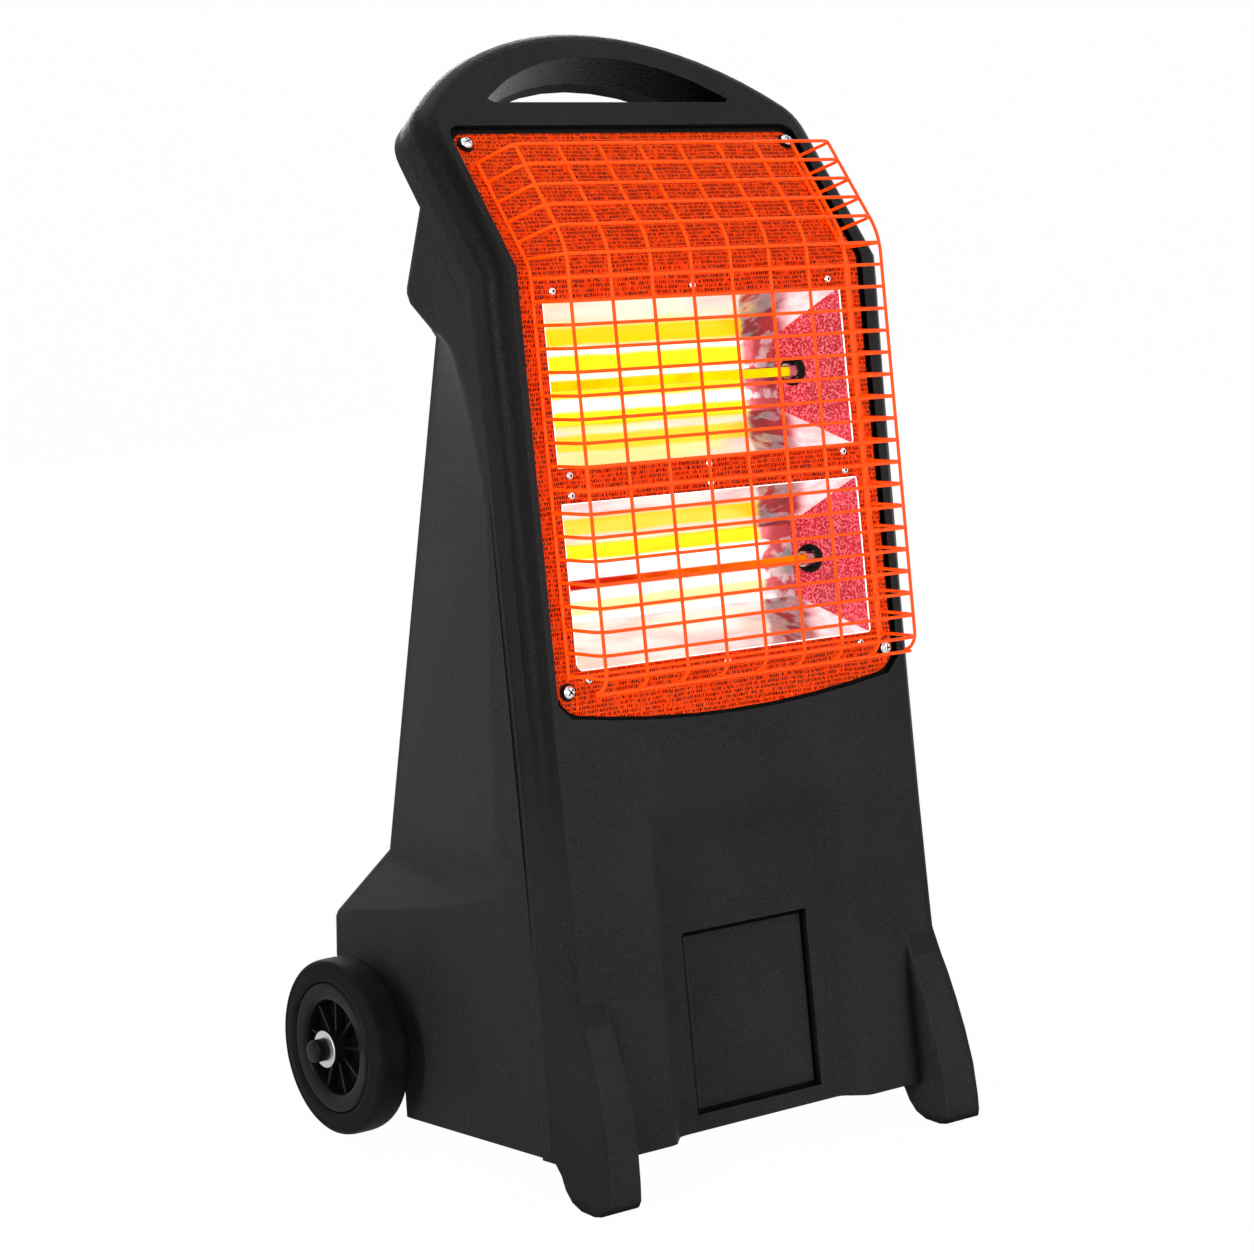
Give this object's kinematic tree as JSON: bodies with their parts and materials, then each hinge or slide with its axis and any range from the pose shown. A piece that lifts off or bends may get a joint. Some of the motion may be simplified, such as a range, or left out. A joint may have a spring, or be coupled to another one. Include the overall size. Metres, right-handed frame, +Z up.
{
  "type": "infrared heater",
  "caption": "Black upright infrared heater on wheels, with an arched handle, leaning front panel, orange fascia, glowing tube lamps in reflectors, wire guard, feet and a front hatch.",
  "frame": {"origin": "on the floor, at the middle of the bounding box seen from above", "axes": "+Z up, the lamps face -Y, +X is to the right of someone who looks at the lamps"},
  "size_m": [0.5468, 0.399, 0.9215],
  "materials": {
    "black_plastic": "fine moulded grain, satin",
    "black_gloss": "smooth moulded, semi-gloss",
    "tyre_rubber": "solid rubber, matt",
    "rubber": "matt",
    "orange_sheet": "orange powder coat lit from within, coarse woven-looking grain",
    "orange_wire": "orange powder coat, satin",
    "bright_sheet": "polished reflector sheet",
    "hammered_sheet": "hammered reflector sheet",
    "steel": "zinc plated",
    "chrome": "bright",
    "quartz": "clear quartz",
    "filament": "glowing tungsten",
    "ceramic": "unglazed white",
    "brass": "turned",
    "red_plastic": "moulded, glossy"
  },
  "bodies": {
    "chassis": {"front_shell": "black_plastic", "rear_shell": "black_plastic", "hatch_pin": "steel", "fascia_plate": "orange_sheet", "wire_guard": "orange_wire", "case_screw_left": "steel", "case_screw_right": "steel", "fascia_washer_upper_left": "rubber", "fascia_screw_upper_left": "chrome", "reflector_end_upper_left": "hammered_sheet", "lamp_cap_upper_left": "ceramic", "lamp_holder_upper_left": "steel", "fascia_washer_upper_right": "rubber", "fascia_screw_upper_right": "chrome", "reflector_end_upper_right": "hammered_sheet", "lamp_cap_upper_right": "ceramic", "lamp_holder_upper_right": "steel", "reflector_upper": "bright_sheet", "lamp_tube_upper": "quartz", "lamp_filament_upper": "filament", "switch_housing_upper_lamp": "black_gloss", "fascia_washer_lower_left": "rubber", "fascia_screw_lower_left": "chrome", "reflector_end_lower_left": "hammered_sheet", "lamp_cap_lower_left": "ceramic", "lamp_holder_lower_left": "steel", "fascia_washer_lower_right": "rubber", "fascia_screw_lower_right": "chrome", "reflector_end_lower_right": "hammered_sheet", "lamp_cap_lower_right": "ceramic", "lamp_holder_lower_right": "steel", "reflector_lower": "bright_sheet", "lamp_tube_lower": "quartz", "lamp_filament_lower": "filament", "switch_housing_lower_lamp": "black_gloss", "hub_washer_left": "chrome", "axle_cap_left": "black_gloss", "axle_bush_left": "black_gloss", "hub_washer_right": "chrome", "axle_cap_right": "black_gloss", "axle_bush_right": "black_gloss", "axle": "steel", "heat_shield": "steel", "thermal_cutout": "ceramic", "switch_plate": "black_gloss", "cable_gland": "black_plastic", "gland_nut": "brass", "base_cover": "steel", "terminal_block": "ceramic", "tip_over_switch": "black_gloss"},
    "wheel_left": {"wheel_rim_left": "black_gloss", "tyre_left": "tyre_rubber"},
    "wheel_right": {"wheel_rim_right": "black_gloss", "tyre_right": "tyre_rubber"},
    "hatch": {"hatch_door": "black_plastic"},
    "upper_lamp_rocker": {"rocker_upper_lamp": "red_plastic"},
    "lower_lamp_rocker": {"rocker_lower_lamp": "red_plastic"}
  },
  "joints": [
    {"name": "left_wheel_spin", "type": "hinge", "parent": "chassis", "child": "wheel_left", "pos_m": [-0.238, 0.1149, 0.075], "axis": [1, 0, 0], "continuous": true},
    {"name": "right_wheel_spin", "type": "hinge", "parent": "chassis", "child": "wheel_right", "pos_m": [0.238, 0.1149, 0.075], "axis": [1, 0, 0], "continuous": true},
    {"name": "hatch_hinge", "type": "hinge", "parent": "chassis", "child": "hatch", "pos_m": [-0.0625, -0.12959, 0.11861], "axis": [0, -0.1513, -0.9885], "range_deg": [0, 100]},
    {"name": "upper_lamp_switch", "type": "hinge", "parent": "chassis", "child": "upper_lamp_rocker", "pos_m": [-0.022, 0.087, 0.74813], "axis": [-1, 0, 0], "range_deg": [0, 16]},
    {"name": "lower_lamp_switch", "type": "hinge", "parent": "chassis", "child": "lower_lamp_rocker", "pos_m": [0.022, 0.087, 0.74813], "axis": [-1, 0, 0], "range_deg": [0, 16]}
  ]
}
